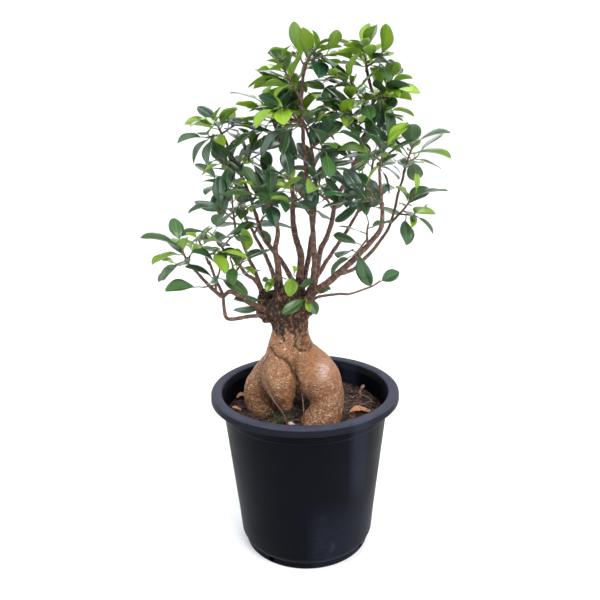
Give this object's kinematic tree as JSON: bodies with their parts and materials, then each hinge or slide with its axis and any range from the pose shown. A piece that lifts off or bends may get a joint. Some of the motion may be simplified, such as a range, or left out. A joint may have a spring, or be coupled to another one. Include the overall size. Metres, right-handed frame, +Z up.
{
  "type": "potted fig bonsai",
  "caption": "Small fig tree with a swollen, legged root base and a leafy crown, planted in a round black nursery pot.",
  "frame": {"origin": "middle of the pot's foot, on the surface it stands on", "axes": "+Z up; the front of the tree looks along -Y"},
  "size_m": [0.2894, 0.226, 0.5362],
  "materials": {
    "pot": "black moulded plastic with a soft gloss, light scratches and dust",
    "soil": "damp dark coir and peat mix",
    "root_bark": "smooth tan bark with pale flecks, rough and dark at the graft",
    "stem_bark": "reddish brown bark",
    "foliage": "glossy dark green leaves, yellow green at the tips",
    "dry_leaf": "dry curled orange brown leaf"
  },
  "bodies": {
    "root": {"aerial_root": "stem_bark", "back_centre": "foliage", "back_left_middle": "foliage", "back_left_stem": "stem_bark", "back_left_tip": "foliage", "back_middle": "foliage", "back_right_middle": "foliage", "back_right_stem": "stem_bark", "back_right_tip": "foliage", "back_stem": "stem_bark", "back_top": "foliage", "branch_low": "foliage", "centre_left": "foliage", "centre_stem": "stem_bark", "crown_left": "foliage", "crown_top": "foliage", "fallen_leaf_1": "dry_leaf", "fallen_leaf_2": "dry_leaf", "fallen_leaf_3": "dry_leaf", "far_left": "foliage", "inner_low": "foliage", "knob_lower": "foliage", "knob_upper": "foliage", "leader_left": "foliage", "leader_right": "foliage", "leader_stem": "stem_bark", "left_arc_branch": "stem_bark", "left_arc_tip": "foliage", "left_knob_branch": "stem_bark", "left_middle": "foliage", "left_middle_inner": "foliage", "left_shoulder": "foliage", "left_top": "foliage", "left_top_inner": "foliage", "left_upper_branch": "stem_bark", "low_leader_left": "foliage", "low_leader_right": "foliage", "low_left": "foliage", "low_left_twig": "stem_bark", "low_right_twig": "stem_bark", "middle_stem": "stem_bark", "middle_top": "foliage", "outer_middle": "foliage", "outer_top": "foliage", "pot": "pot", "right_branch": "stem_bark", "right_bright": "foliage", "right_fork": "stem_bark", "right_stem": "stem_bark", "right_stem_inner": "foliage", "right_stem_outer": "foliage", "right_tip": "foliage", "right_top": "foliage", "right_top_inner": "foliage", "right_top_outer": "foliage", "root_base": "root_bark", "soil": "soil", "top_left": "foliage", "upper_left_stem": "stem_bark"}
  },
  "joints": []
}
